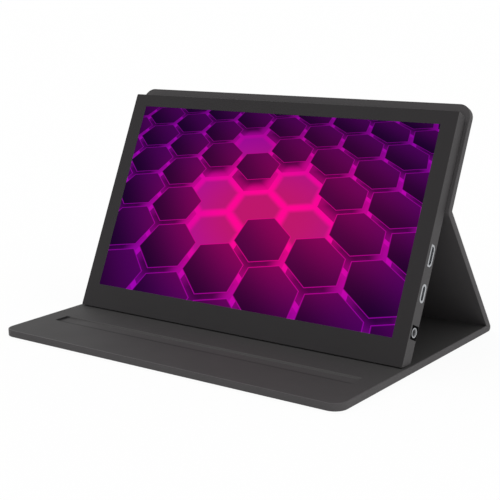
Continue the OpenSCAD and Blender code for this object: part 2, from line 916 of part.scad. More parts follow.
base_skin();
base_lining();
front_board();
spine_board();
closing_magnets();
back_fold();
leg_skin();
leg_lining();
leg_board();
mid_fold();
upper_skin();
upper_lining();
upper_board();
holding_magnets();
front_bezel();
rear_shell();
case_screws();
steel_plate();
glass_cell();
diffuser_sheets();
light_guide();
led_bar();
reflector_sheet();
module_tray();
driver_board();
board_screws();
panel_flex();
video_shell();
video_tongue();
usb_shell();
usb_tongue();
audio_jack();
jack_ring();
key_board();
key_switches();
key_ribbon();
power_key();
plus_key();
minus_key();
speaker_left();
speaker_right();
speaker_leads();
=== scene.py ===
import json
import math

import bmesh
import bpy
from mathutils import Matrix, Vector


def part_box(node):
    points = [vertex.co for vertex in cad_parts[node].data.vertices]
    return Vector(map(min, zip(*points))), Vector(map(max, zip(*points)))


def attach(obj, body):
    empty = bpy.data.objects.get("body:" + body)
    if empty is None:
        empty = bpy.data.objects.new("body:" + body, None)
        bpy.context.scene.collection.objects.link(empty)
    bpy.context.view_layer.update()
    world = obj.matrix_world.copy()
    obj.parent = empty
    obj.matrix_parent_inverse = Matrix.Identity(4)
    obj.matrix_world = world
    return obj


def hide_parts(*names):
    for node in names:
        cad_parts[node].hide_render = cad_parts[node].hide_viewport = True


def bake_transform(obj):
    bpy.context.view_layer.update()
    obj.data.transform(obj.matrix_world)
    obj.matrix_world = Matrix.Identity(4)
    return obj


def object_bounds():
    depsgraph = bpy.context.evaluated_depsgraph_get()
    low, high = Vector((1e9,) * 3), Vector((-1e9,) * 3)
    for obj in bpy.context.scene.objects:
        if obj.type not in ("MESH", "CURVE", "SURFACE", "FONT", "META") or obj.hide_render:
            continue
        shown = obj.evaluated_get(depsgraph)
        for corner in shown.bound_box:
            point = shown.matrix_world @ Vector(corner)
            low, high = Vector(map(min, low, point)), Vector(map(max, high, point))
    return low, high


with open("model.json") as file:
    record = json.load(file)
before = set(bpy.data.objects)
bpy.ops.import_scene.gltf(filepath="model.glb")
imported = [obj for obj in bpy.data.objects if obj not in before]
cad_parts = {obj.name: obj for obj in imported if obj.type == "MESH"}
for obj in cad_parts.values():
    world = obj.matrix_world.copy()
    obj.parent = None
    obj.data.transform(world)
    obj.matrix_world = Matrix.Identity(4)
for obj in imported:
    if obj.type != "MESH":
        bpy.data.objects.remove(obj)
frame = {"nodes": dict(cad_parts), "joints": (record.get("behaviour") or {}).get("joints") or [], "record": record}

bl_info = {
    "name": "Portable Monitor Looks",
    "version": (1, 0, 0),
    "blender": (4, 5, 0),
    "location": "View3D > Sidebar > Monitor",
    "description": "Dresses the CAD model of a portable monitor and its folding cover",
    "category": "Object",
}

CAD_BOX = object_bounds()
MM = 0.001
# Points nearer than this are one point
MERGE = 0.002 * MM
# Two faces that turn by less than this are one flat face
FLAT = math.radians(0.4)
# Faces shade into each other where they turn by less than this
SMOOTH_UNDER = math.radians(30)
# An edge where the surface turns by more than this is a corner
CORNER_OVER = math.radians(60)
# In a pressed sheet, an edge where it turns by more than this is a bend
BEND_OVER = math.radians(20)
# Steps in which an outline is swept about a line
SWEEP_STEPS = 48


# ---- Where the CAD's pieces stand ----

JOINTS = {joint["name"]: joint for joint in frame["joints"]}
MOUNTS = {mount["name"]: mount for mount in frame["record"]["mounts"]}

BASE_LOW, BASE_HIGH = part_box("base_skin")
COVER_W = BASE_HIGH.x - BASE_LOW.x
BASE_L = BASE_HIGH.y - BASE_LOW.y
PANEL_T = BASE_HIGH.z

# Screen's lean, and the directions up the screen and out of its back
OUT = Vector(JOINTS["monitor_release"]["axis"]).normalized()
TILT = math.atan2(OUT.z, -OUT.y)
UP = Vector((0, math.sin(TILT), math.cos(TILT)))

# The two lines about which the cover folds
BACK_FOLD = Vector(JOINTS["stand_fold"]["pos_m"])
MID_FOLD = Vector(JOINTS["panel_fold"]["pos_m"])
LEG_SPAN = MID_FOLD - BACK_FOLD
LEG_L = math.sqrt(LEG_SPAN.length_squared - PANEL_T ** 2)
BACK_FOLD_ANGLE = math.atan2(LEG_SPAN.z, LEG_SPAN.y) + math.atan2(PANEL_T, LEG_L)
MID_FOLD_ANGLE = math.pi / 2 - (math.pi - BACK_FOLD_ANGLE) + TILT
UPPER_L = (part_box("upper_skin")[1].z - MID_FOLD.z - PANEL_T * math.sin(TILT)) / math.cos(TILT)

# Middle of the power and data socket in the monitor's own frame, which gives that frame's origin
SOCKET_X = 122 * MM
SOCKET_D = 5.35 * MM
SOCKET_V = 43.5 * MM
MONITOR_AT = (Vector(MOUNTS["usb_c_socket"]["pos_m"]) - Vector((SOCKET_X, 0, 0))
              + OUT * SOCKET_D - UP * SOCKET_V)

# Each panel lies with its outer face down and its fold at y = 0. The monitor has X to the
# right, Y back from its front face and Z up the screen.
ON_BASE = Matrix.Translation((0, BACK_FOLD.y, 0)) @ Matrix.Rotation(math.pi, 4, "Z")
ON_LEG = (Matrix.Translation(BACK_FOLD) @ Matrix.Rotation(BACK_FOLD_ANGLE, 4, "X")
          @ Matrix.Translation((0, 0, -PANEL_T)))
ON_UPPER = Matrix.Translation(MID_FOLD) @ Matrix.Rotation(math.pi / 2 - TILT, 4, "X")
ON_MONITOR = Matrix.Translation(MONITOR_AT) @ Matrix.Rotation(-TILT, 4, "X")


def srgb(red, green, blue):
    """A colour given as it looks on a screen, 0 to 255, as linear light."""
    return tuple(c / 12.92 if c <= 0.04045 else ((c + 0.055) / 1.055) ** 2.4
                 for c in (red / 255, green / 255, blue / 255))


# ---- Settings ----

def length(label, description, mm):
    """A length's setting, given in millimetres."""
    return bpy.props.FloatProperty(name=label, description=description, default=mm * MM,
                                   unit="LENGTH", subtype="DISTANCE", precision=5)


def number(label, description, value, low=0, high=1):
    """A plain number's setting, such as a share or a strength."""
    return bpy.props.FloatProperty(name=label, description=description, default=value,
                                   min=low, max=high)


def colour(label, description, rgb):
    """A colour's setting, given as it looks on a screen."""
    return bpy.props.FloatVectorProperty(name=label, description=description, default=srgb(*rgb),
                                         subtype="COLOR", size=3, min=0, max=1)


def angle(label, description, degrees):
    """An angle's setting, given in degrees."""
    return bpy.props.FloatProperty(name=label, description=description,
                                   default=math.radians(degrees), subtype="ANGLE")


def direction(label, description, towards):
    """A direction's setting."""
    return bpy.props.FloatVectorProperty(name=label, description=description, default=towards,
                                         subtype="DIRECTION", size=3)


class CoverSettings(bpy.types.PropertyGroup):
    """Sizes and colours of the folding cover"""
    skin_t: length("Skin", "Thickness of the outer skin", 0.8)
    outer_round: length("Outer rounding", "Radius where the skin turns up round the board", 0.5)
    rim_round: length("Rim rounding", "Radius along the rim's top edge", 0.3)
    fold_r: length("Fold radius", "Outer radius of the fold behind the base", 2.4)
    fold_gap: length("Fold gap", "Gap between a panel's skin and the line it folds about", 0.03)
    fold_inset: length("Fold inset", "How far a fold's ends lie inside the panels'", 0.05)
    corner_r: length("Corners", "Radius of the free corners, seen from above", 8)
    lining_t: length("Lining", "Thickness of the lining", 0.8)
    lining_drop: length("Lining drop", "How far the lining lies below the rim", 0.06)
    channel_l: length("Channel length", "Length of the channel pressed into the base", 222)
    channel_w: length("Channel width", "Width of the channel at its mouth", 10.5)
    channel_depth: length("Channel depth", "Depth of the channel", 1)
    channel_slope: length("Channel slope", "Width of the channel's sloped sides", 0.7)
    channel_round: length("Channel rounding", "Radius along the channel's bends", 0.315)
    channel_y: length("Channel place", "Channel's middle, behind the base's front edge", 38.4)
    # Strength of the painted shade along the channel's front crease
    crease: number("Crease", "How dark the channel's front crease is", 0.7)
    # Strength of the painted highlight in the channel's middle
    band_highlight: number("Band", "How light the channel's middle is", 0.3)
    # Strength of the painted highlight on the channel's back slope
    wall: number("Wall", "How light the channel's back slope is", 0.9)
    # Strength of the painted shadow at the channel's left end
    end: number("End", "How dark the channel's left end is", 0.8)
    # Strength and reach of the painted shade on the channel's floor beside its left end
    wear: number("Wear", "How dark the channel's floor is beside its left end", 0.25)
    floor_shade_l: length("Wear length", "How far that wear reaches along the channel", 16)
    skin_colour: colour("Skin colour", "Colour of the outer skin", (69, 67, 68))
    lining_colour: colour("Lining colour", "Lining's colour on the leg and upper panels", (70, 68, 69))
    base_colour: colour("Base lining colour", "Colour of the lining on the base", (56, 55, 55))


class MonitorSettings(bpy.types.PropertyGroup):
    """Sizes and colours of the monitor"""
    edge_round: length("Edge rounding", "Radius along the bezel's front edges", 0.15)
    key_round: length("Key rounding", "Radius along each key's cap", 0.18)
    metal_round: length("Metal rounding", "Radius along the sockets' rims", 0.12)
    sleeve_t: length("Sleeve", "Wall of the sleeve in the jack's bore", 0.12)
    sleeve_l: length("Sleeve length", "From the ring's face to the sleeve's inner end", 10)
    sleeve_play: length("Sleeve play", "Gap between the sleeve and the bore", 0.01)
    sleeve_flare: length("Sleeve flare", "Depth of the flare at the sleeve's mouth", 0.15)
    collar_r: length("Collar", "Radius of the sleeve's collar, inside the bright ring", 2.28)
    collar_face: length("Collar face", "From the ring's face in to the collar's", 0.2)
    collar_back: length("Collar back", "From the ring's face in to the collar's back", 0.79)
    bezel_colour: colour("Bezel colour", "Colour of the front bezel", (39, 37, 38))
    shell_colour: colour("Shell colour", "Colour of the rear shell and the bezel's sides", (56, 54, 55))
    socket_colour: colour("Socket colour", "Colour of the plated sockets", (176, 178, 181))
    key_colour: colour("Key colour", "Colour of the keys", (38, 37, 38))


class PictureSettings(bpy.types.PropertyGroup):
    """The picture on the screen"""
    width: length("Width", "Width of the lit picture", 223.6)
    height: length("Height", "Height of the lit picture", 125.8)
    bottom: length("Bottom", "Picture's lower edge, above the monitor's", 15.5)
    tile: number("Tile", "Width of a tile, as a share of the picture's height", 0.3, 0.05)
    rise: number("Rise", "Height of the raised tiles, in tile widths", 0.34, 0, 0.6)
    gap: number("Gap", "Half of the gap between tiles, in tile widths", 0.045, 0, 0.2)
    turn: angle("Turn", "Turn of the tile pattern", 17)
    depth: number("Depth", "How much the tiles recede upwards", 0.6, 0, 0.9)
    squash: number("Squash", "How flat the tiles lie", 1.5, 1, 3)
    focus: bpy.props.FloatVectorProperty(name="Focus", default=(0.08, -0.04), size=2,
                                         description="Middle of the glow, from the picture's middle")
    seed: number("Seed", "Picks which tiles are sunken", 3, 0, 100)
    hot: colour("Hot glow", "Glow near the middle", (255, 4, 146))
    cool: colour("Cool glow", "Glow near the edges", (160, 3, 178))
    tile_dark: colour("Dark tile", "Tiles near the edges", (27, 0, 42))
    tile_warm: colour("Warm tile", "Tiles near the middle", (84, 2, 66))
    floor_lit: colour("Lit floor", "Sunken tiles near the middle", (190, 22, 108))


class StageSettings(bpy.types.PropertyGroup):
    """Camera, light and floor"""
    azimuth: angle("Azimuth", "Camera's turn round the monitor", 36.533)
    elevation: angle("Elevation", "Camera's height above the table, as an angle", 12.581)
    roll: angle("Roll", "Camera's roll", 0.857)
    distance: length("Distance", "From the camera to the point it looks at", 685.93)
    target: bpy.props.FloatVectorProperty(name="Target", description="Point that the camera looks at",
                                          default=(20.955 * MM, -22.923 * MM, 60 * MM),
                                          subtype="TRANSLATION", unit="LENGTH", precision=5)
    lens: bpy.props.FloatProperty(name="Lens", description="Focal length on a 36 mm sensor",
                                  default=83.855, subtype="DISTANCE_CAMERA")
    sky: number("Sky", "Strength of the light from all round", 0.97, 0, 10)
    side_light: number("Side light", "Strength of the light from the right", 0.64, 0, 10)
    side_from: direction("Side light's place", "Where the light from the right stands",
                         (0.95, -0.1, 0.3))
    back_light: number("Back light", "Strength of the light from behind", 0.55, 0, 10)
    back_from: direction("Back light's place", "Where the light from behind stands",
                         (-0.62, 0.42, 0.66))
    light_spread: angle("Light spread", "Width of each light, as seen from the table", 40)
    floor_white: number("Floor white", "Share of plain white in what the floor shows", 0.93)
    floor_colour: colour("Floor colour", "Colour of the floor", (235, 235, 235))


# ---- Node trees ----

def add(tree, kind, inputs=None, **settings):
    """Adds a node. An input given as a socket is linked, and any other value is set."""
    made = tree.nodes.new(kind)
    for key, value in settings.items():
        setattr(made, key, value)
    for key, value in (inputs or {}).items():
        if isinstance(value, bpy.types.NodeSocket):
            tree.links.new(value, made.inputs[key])
        else:
            made.inputs[key].default_value = value
    return made


def calc(tree, operation, a, b=0.0, clamp=False):
    """A sum on two numbers."""
    return add(tree, "ShaderNodeMath", {0: a, 1: b}, operation=operation, use_clamp=clamp).outputs[0]


def vec(tree, operation, a, b=(0, 0, 0)):
    """A sum on two vectors."""
    return add(tree, "ShaderNodeVectorMath", {0: a, 1: b}, operation=operation).outputs[0]


def measure(tree, operation, a, b=(0, 0, 0)):
    """A sum on vectors whose result is a number."""
    return add(tree, "ShaderNodeVectorMath", {0: a, 1: b}, operation=operation).outputs["Value"]


def product(tree, *factors):
    """The product of several numbers."""
    result = factors[0]
    for factor in factors[1:]:
        result = calc(tree, "MULTIPLY", result, factor)
    return result


def step(tree, value, low, high, start=0.0, end=1.0):
    """Goes smoothly from start to end as value goes from low to high."""
    return add(tree, "ShaderNodeMapRange", {"Value": value, "From Min": low, "From Max": high,
                                            "To Min": start, "To Max": end},
               interpolation_type="SMOOTHSTEP").outputs[0]


def stripe(tree, value, middle, half, soft):
    """1 within half of the middle, and 0 from a soft edge outwards."""
    away = calc(tree, "ABSOLUTE", calc(tree, "SUBTRACT", value, middle))
    return step(tree, away, half, half + soft, 1.0, 0.0)


def blend(tree, share, a, b):
    """Colour a where share is 0 and b where it is 1. A mix's colours are its sockets 6 and 7."""
    made = add(tree, "ShaderNodeMix", {"Factor": share}, data_type="RGBA")
    for socket, value in ((made.inputs[6], a), (made.inputs[7], b)):
        if isinstance(value, bpy.types.NodeSocket):
            tree.links.new(value, socket)
        else:
            socket.default_value = (*value[:3], 1)
    return made.outputs[2]


def new_material(name):
    """An empty material, its node tree and its surface shader."""
    made = bpy.data.materials.new(name)
    made.use_nodes = True
    tree = made.node_tree
    tree.nodes.clear()
    shader = tree.nodes.new("ShaderNodeBsdfPrincipled")
    out = tree.nodes.new("ShaderNodeOutputMaterial")
    tree.links.new(shader.outputs[0], out.inputs["Surface"])
    return made, tree, shader


def finish(name):
    """A finish that an earlier piece has made."""
    return bpy.data.materials[name]


def shade(rgb, factor):
    """A colour made darker or lighter."""
    return tuple(min(c * factor, 1) for c in rgb)


# How much of a finish's variation is its grain, and how many mottles a metre holds
GRAIN_SHARE = 0.6
MOTTLE_SCALE = 45.0
# How far a finish's roughness goes up and down with its grain
ROUGH_CHANGE = 0.06


def grained(name, rgb, rough, grain, relief, contrast=0.12, metallic=0.0, specular=0.3,
            cells=False, stretch=(1, 1, 1)):
    """A finish with a fine grain that colours, roughens and raises it, over a slow mottle.

    Grain and relief are the grain's width and height in millimetres. Cells gives leather's pebbles."""
    made, tree, shader = new_material(name)
    place = add(tree, "ShaderNodeTexCoord").outputs["Object"]
    place = add(tree, "ShaderNodeMapping", {"Vector": place, "Scale": stretch}).outputs[0]
    if cells:
        fine = add(tree, "ShaderNodeTexVoronoi", {"Vector": place, "Scale": 1 / (grain * MM)},
                   feature="DISTANCE_TO_EDGE").outputs["Distance"]
        fine = step(tree, fine, 0.0, 0.35)
    else:
        fine = add(tree, "ShaderNodeTexNoise",
                   {"Vector": place, "Scale": 1 / (grain * MM), "Detail": 3.0}).outputs["Fac"]
    slow = add(tree, "ShaderNodeTexNoise",
               {"Vector": place, "Scale": MOTTLE_SCALE, "Detail": 2.0}).outputs["Fac"]
    mixed = calc(tree, "ADD", product(tree, fine, GRAIN_SHARE), product(tree, slow, 1 - GRAIN_SHARE))
    tree.links.new(blend(tree, mixed, shade(rgb, 1 - contrast), shade(rgb, 1 + contrast)),
                   shader.inputs["Base Color"])
    tree.links.new(step(tree, mixed, 0.0, 1.0, rough + ROUGH_CHANGE, rough - ROUGH_CHANGE),
                   shader.inputs["Roughness"])
    bump = add(tree, "ShaderNodeBump", {"Height": fine, "Distance": relief * MM, "Strength": 1.0})
    tree.links.new(bump.outputs[0], shader.inputs["Normal"])
    shader.inputs["Metallic"].default_value = metallic
    shader.inputs["Specular IOR Level"].default_value = specular
    return made


def pressed_lining(name, cover):
    """The base's lining, with painted shade at the channel's front crease and left end and painted highlights
    inside the channel.
    """
    made = grained(name, cover.base_colour, rough=0.7, grain=0.25, relief=0.015, specular=0.15)
    tree = made.node_tree
    shader = next(node for node in tree.nodes if node.type == "BSDF_PRINCIPLED")
    plain = shader.inputs["Base Color"].links[0].from_socket
    # Colours of the painted highlights and the painted shade
    light = shade(cover.base_colour, 1.6)
    dark = shade(cover.base_colour, 0.1)
    place = add(tree, "ShaderNodeTexCoord").outputs["Object"]
    x, y, _ = add(tree, "ShaderNodeSeparateXYZ", {0: place}).outputs
    half_l = cover.channel_l / 2
    half_w = cover.channel_w / 2
    slope = cover.channel_slope
    middle = BASE_LOW.y + cover.channel_y
    along = stripe(tree, x, 0.0, half_l - 1 * MM, 2 * MM)

    # Painted highlights: a band behind the middle, and on the slope at the back
    band_highlight = product(tree, stripe(tree, y, middle + 1 * MM, 2 * MM, 2 * MM), along, cover.band_highlight)
    # Painted highlight on the channel's back slope
    wall = product(tree, stripe(tree, y, middle + half_w - slope / 2, slope / 2, slope), along,
                   cover.wall)
    # The plain lining with the painted highlights blended in
    lit = blend(tree, calc(tree, "MAXIMUM", band_highlight, wall), plain, light)

    # Painted shade: along the crease at the front, at the left end, and on the floor beside that end
    # Painted shade along the channel's front edge
    crease = product(tree, stripe(tree, y, middle - half_w, 0.45 * MM, 1.2 * MM), along, cover.crease,
                     step(tree, x, -half_l, half_l / 2, 1.3, 0.8))
    # Painted shadow at the channel's left end
    end = product(tree, stripe(tree, x, -half_l + 0.9 * MM, 1.1 * MM, 0.7 * MM),
                  stripe(tree, y, middle, half_w - 0.2 * MM, 0.5 * MM), cover.end)
    # Painted shade on the channel's floor, fading away from its left end
    floor_shade_mask = product(tree, stripe(tree, y, middle, half_w - slope, slope), along,
                   step(tree, x, -half_l, -half_l + cover.floor_shade_l, cover.wear, 0.0))
    # Where the painted shade is strongest
    painted_shade = calc(tree, "MAXIMUM", calc(tree, "MAXIMUM", crease, end), floor_shade_mask)
    tree.links.new(blend(tree, painted_shade, lit, dark), shader.inputs["Base Color"])
    return made


def circuit_board(name):
    """Green solder mask over copper tracks, with pads and vias."""
    made, tree, shader = new_material(name)
    place = add(tree, "ShaderNodeTexCoord").outputs["Object"]
    turned = add(tree, "ShaderNodeMapping", {"Vector": place, "Rotation": (TILT, 0, 0)}).outputs[0]
    tracks = add(tree, "ShaderNodeTexBrick",
                 {"Vector": turned, "Scale": 220.0, "Mortar Size": 0.08, "Brick Width": 1.3,
                  "Row Height": 0.35}, offset=0.4).outputs["Fac"]
    vias = add(tree, "ShaderNodeTexVoronoi", {"Vector": turned, "Scale": 300.0}).outputs["Distance"]
    vias = step(tree, vias, 0.16, 0.2, 1.0, 0.0)
    mask = blend(tree, tracks, srgb(24, 92, 56), srgb(40, 118, 72))
    tree.links.new(blend(tree, vias, mask, srgb(196, 168, 92)), shader.inputs["Base Color"])
    bump = add(tree, "ShaderNodeBump", {"Height": tracks, "Distance": 0.03 * MM})
    tree.links.new(bump.outputs[0], shader.inputs["Normal"])
    shader.inputs["Roughness"].default_value = 0.35
    return made


# ---- The picture: raised hexagonal tiles over a glowing floor ----

HALF_CELL = (0.5, math.sqrt(3) / 2, 0)


def tile_at(tree, point):
    """The hexagonal tile round a point.

    Gives the point's offset from the tile's middle, that middle, and the distance to its edge."""
    low = tuple(-c for c in HALF_CELL)

    def wrapped(value):
        return add(tree, "ShaderNodeVectorMath", {0: value, 1: HALF_CELL, 2: low},
                   operation="WRAP").outputs[0]

    first = wrapped(point)
    second = wrapped(vec(tree, "SUBTRACT", point, HALF_CELL))
    nearer = calc(tree, "LESS_THAN", measure(tree, "LENGTH", first), measure(tree, "LENGTH", second))
    offset = add(tree, "ShaderNodeMix", {"Factor": nearer, 4: second, 5: first},
                 data_type="VECTOR").outputs[1]
    folded = vec(tree, "ABSOLUTE", offset)
    across = add(tree, "ShaderNodeSeparateXYZ", {0: folded}).outputs[0]
    reach = calc(tree, "MAXIMUM", across, measure(tree, "DOT_PRODUCT", folded, HALF_CELL))
    return offset, vec(tree, "SUBTRACT", point, offset), calc(tree, "SUBTRACT", 0.5, reach)


def chance(tree, middle, seed):
    """A random number from 0 to 1 for each tile."""
    halves = vec(tree, "DIVIDE", middle, (*HALF_CELL[:2], 1))
    tile_number = vec(tree, "FLOOR", vec(tree, "ADD", halves, (0.5, 0.5, 0)))
    moved = vec(tree, "ADD", tile_number, (seed, 0, 0.5))
    return add(tree, "ShaderNodeTexWhiteNoise", {"Vector": moved}).outputs["Value"]


def receding(tree, across, up, settings):
    """The place on the tiles' ground, in tile widths, that a place in the picture shows."""
    nearness = calc(tree, "SUBTRACT", 1.0, product(tree, up, settings.depth))
    ground = add(tree, "ShaderNodeCombineXYZ",
                 {0: calc(tree, "DIVIDE", across, nearness),
                  1: calc(tree, "DIVIDE", product(tree, up, settings.squash), nearness)}).outputs[0]
    return add(tree, "ShaderNodeMapping",
               {"Vector": ground, "Rotation": (0, 0, settings.turn),
                "Scale": (1 / settings.tile,) * 3}, vector_type="POINT").outputs[0]


def lit_picture(name, settings):
    """The glass with its picture, lit from behind and drawn from the piece's own UV map."""
    made, tree, shader = new_material(name)
    gap = settings.gap
    focus_x, focus_y = settings.focus
    uv = add(tree, "ShaderNodeUVMap", uv_map="picture").outputs[0]
    flat = vec(tree, "MULTIPLY", vec(tree, "SUBTRACT", uv, (0.5, 0.5, 0)),
               (settings.width / settings.height, 1, 0))
    across, up, _ = add(tree, "ShaderNodeSeparateXYZ", {0: flat}).outputs

    # Glow falls off from its middle, faster up and down than to the sides
    away = vec(tree, "MULTIPLY", vec(tree, "SUBTRACT", flat, (focus_x, focus_y, 0)), (0.75, 1.2, 0))
    warmth = step(tree, measure(tree, "LENGTH", away), 0.1, 0.75, 1.0, 0.0)
    glow = blend(tree, warmth, settings.cool, settings.hot)
    tile = blend(tree, warmth, settings.tile_dark, settings.tile_warm)

    # Tiles recede upwards, and each top is seen above its foot
    ground = receding(tree, across, up, settings)
    turned = Matrix.Rotation(settings.turn, 3, "Z")
    rise = turned @ Vector((0, settings.rise, 0))
    near = 1 - focus_y * settings.depth
    middle = turned @ Vector((focus_x, focus_y * settings.squash, 0)) / near / settings.tile
    top_offset, top_middle, top_edge = tile_at(tree, vec(tree, "SUBTRACT", ground, tuple(rise)))
    low_offset, low_middle, low_edge = tile_at(tree, ground)

    def raised(centre, edge):
        """1 on a raised tile, short of its gap: all are raised far out, and some near the glow."""
        out = measure(tree, "LENGTH", vec(tree, "SUBTRACT", centre, tuple(middle)))
        sunken = calc(tree, "ADD", chance(tree, centre, settings.seed),
                      step(tree, out, 0.3, 2.6, 0.75, 0.0))
        return calc(tree, "MULTIPLY", calc(tree, "LESS_THAN", sunken, 1.0),
                    calc(tree, "GREATER_THAN", edge, gap))

    # Tops: dark, with a sheen to one side and a thin lit edge
    sheen = step(tree, measure(tree, "DOT_PRODUCT", top_offset, (0.5, 0.85, 0)), -0.45, 0.6, 0.0, 0.2)
    top = blend(tree, sheen, tile, glow)
    top = blend(tree, step(tree, top_edge, gap, gap + 0.022, 0.85, 0.0), top, glow)

    # Walls: lit from below, the ones to the left darker
    leftness = measure(tree, "DOT_PRODUCT", low_offset, (-1, 0, 0))
    facet = step(tree, leftness, -0.12, 0.12, 0.75, 0.35)
    foot = step(tree, low_edge, gap, gap + 0.3, 1.0, 0.1)
    wall = blend(tree, product(tree, foot, facet), tile, glow)

    # Floor: hot in the gaps, and calmer in the middle of a sunken tile
    floor = blend(tree, warmth, settings.cool, settings.floor_lit)
    floor = blend(tree, step(tree, low_edge, gap * 0.5, gap + 0.1, 1.0, 0.0), floor, glow)
    below = blend(tree, raised(low_middle, low_edge), floor, wall)
    picture = blend(tree, raised(top_middle, top_edge), below, top)

    # The far tiles lie in haze
    picture = blend(tree, step(tree, up, 0.1, 0.6, 0.0, 0.35), picture, settings.tile_dark)

    tree.links.new(picture, shader.inputs["Emission Color"])
    shader.inputs["Emission Strength"].default_value = 1.0
    shader.inputs["Base Color"].default_value = (0.001, 0.001, 0.001, 1)
    shader.inputs["Roughness"].default_value = 0.4
    shader.inputs["Specular IOR Level"].default_value = 0.0
    return made


# ---- Meshes ----

def mark_sharp(bm):
    """Shades the faces smooth, with an edge kept wherever they turn sharply."""
    for face in bm.faces:
        face.smooth = True
    for edge in bm.edges:
        if len(edge.link_faces) == 2:
            edge.smooth = edge.calc_face_angle() < SMOOTH_UNDER


def make_piece(name, bm, place, body, materials, replaced=()):
    """Puts a mesh where it belongs and lets it ride on its body."""
    bmesh.ops.transform(bm, matrix=place, space=Matrix(), verts=bm.verts)
    mark_sharp(bm)
    mesh = bpy.data.meshes.new(name)
    bm.to_mesh(mesh)
    bm.free()
    for material in materials:
        mesh.materials.append(material)
    piece = bpy.data.objects.new(name, mesh)
    bpy.context.scene.collection.objects.link(piece)
    if replaced:
        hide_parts(*replaced)
    if body:
        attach(piece, body)
        # Large flat faces keep their own shading beside small roundings
        flat = piece.modifiers.new("flat_faces", "WEIGHTED_NORMAL")
        flat.keep_sharp = True
    return piece


def node_copy(node, place):
    """A CAD node's mesh in its own frame, merged, without the lines inside its flat faces."""
    bm = bmesh.new()
    bm.from_mesh(frame["nodes"][node].data)
    bmesh.ops.transform(bm, matrix=place.inverted(), space=Matrix(), verts=bm.verts)
    bmesh.ops.remove_doubles(bm, verts=bm.verts, dist=MERGE)
    bmesh.ops.dissolve_limit(bm, angle_limit=FLAT, verts=bm.verts, edges=bm.edges)
    return bm


def round_edges(bm, edges, radius, segments=3):
    """Rounds edges."""
    bmesh.ops.bevel(bm, geom=edges, offset=radius, affect="EDGES", segments=segments, profile=0.5,
                    material=-1)


def round_corners(bm, corners, radius, segments):
    """Rounds a flat face's corners."""
    bmesh.ops.bevel(bm, geom=corners, offset=radius, affect="VERTICES", segments=segments,
                    profile=0.5, material=-1)


def edges_on(bm, axis, place):
    """Edges that lie in a plane across an axis, where the surface turns a corner."""
    return [edge for edge in bm.edges
            if all(abs(v.co[axis] - place) < MERGE * 2 for v in edge.verts)
            and len(edge.link_faces) == 2 and edge.calc_face_angle() > CORNER_OVER]


def sheet_outline(bm, width, end, corner_r, segments=14):
    """A flat face about the middle of X, from y = 0 to its end, with its two far corners rounded."""
    bmesh.ops.create_grid(bm, x_segments=1, y_segments=1, size=0.5)
    bmesh.ops.scale(bm, vec=(width, end, 1), verts=bm.verts)
    bmesh.ops.translate(bm, vec=(0, end / 2, 0), verts=bm.verts)
    if corner_r > 0:
        round_corners(bm, [v for v in bm.verts if v.co.y > end / 2], corner_r, segments)


def on_line(edge, y):
    """True for an edge that lies across the panel at that y."""
    return all(abs(v.co.y - y) < MERGE for v in edge.verts)


def panel_skin(cover, length_y, corner_r, far_wall):
    """A tray of skin: flat outside, turned up round the free edges, open where the cover folds."""
    bm = bmesh.new()
    sheet_outline(bm, COVER_W, length_y, corner_r)
    free = [edge for edge in bm.edges
            if not on_line(edge, 0) and (far_wall or not on_line(edge, length_y))]
    walls = bmesh.ops.extrude_edge_only(bm, edges=free)
    tops = [item for item in walls["geom"] if isinstance(item, bmesh.types.BMVert)]
    bmesh.ops.translate(bm, vec=(0, 0, PANEL_T), verts=tops)
    bmesh.ops.recalc_face_normals(bm, faces=bm.faces)
    bottom = [edge for edge in bm.edges
              if len(edge.link_faces) == 2 and all(abs(v.co.z) < MERGE for v in edge.verts)]
    round_edges(bm, bottom, cover.outer_round, 5)
    bmesh.ops.solidify(bm, geom=bm.faces[:], thickness=cover.skin_t)
    rim = [edge for edge in edges_on(bm, 2, PANEL_T) if not is_inner(edge, cover, length_y, far_wall)]
    round_edges(bm, rim, cover.rim_round, 3)
    # The ends stand just clear of the fold's line, so that two panels don't rub when they lie flat
    near = [v for v in bm.verts if abs(v.co.y) < MERGE]
    bmesh.ops.translate(bm, vec=(0, cover.fold_gap, 0), verts=near)
    if not far_wall:
        far = [v for v in bm.verts if abs(v.co.y - length_y) < MERGE]
        bmesh.ops.translate(bm, vec=(0, -cover.fold_gap, 0), verts=far)
    return bm


def is_inner(edge, cover, length_y, far_wall):
    """True for the rim's inner edge and for its ends at a fold."""
    middle = (edge.verts[0].co + edge.verts[1].co) / 2
    if on_line(edge, 0) or (not far_wall and on_line(edge, length_y)):
        return True
    # An edge further in than this lies on the skin's inner side
    inside = cover.skin_t * 0.6
    if abs(middle.x) > COVER_W / 2 - inside or (far_wall and middle.y > length_y - inside):
        return False
    # On a rounded corner the two sides differ by their distance from its middle
    corner_x = COVER_W / 2 - cover.corner_r
    corner_y = length_y - cover.corner_r
    if far_wall and middle.y > corner_y and abs(middle.x) > corner_x:
        centre = Vector((math.copysign(corner_x, middle.x), corner_y, middle.z))
        return (middle - centre).length < cover.corner_r - inside
    return True


def panel_lining(cover, length_y, corner_r, channel=False):
    """A sheet of lining inside the rim. On the base a channel is pressed into it."""
    bm = bmesh.new()
    inset = cover.skin_t
    sheet_outline(bm, COVER_W - 2 * inset, length_y - (inset if corner_r else 0), corner_r - inset)
    bmesh.ops.translate(bm, vec=(0, 0, PANEL_T - cover.lining_drop), verts=bm.verts)
    if channel:
        press_channel(bm, cover)
    bmesh.ops.recalc_face_normals(bm, faces=bm.faces)
    if sum(face.normal.z * face.calc_area() for face in bm.faces) < 0:
        bmesh.ops.reverse_faces(bm, faces=bm.faces)
    bmesh.ops.solidify(bm, geom=bm.faces[:], thickness=cover.lining_t - cover.lining_drop)
    return bm


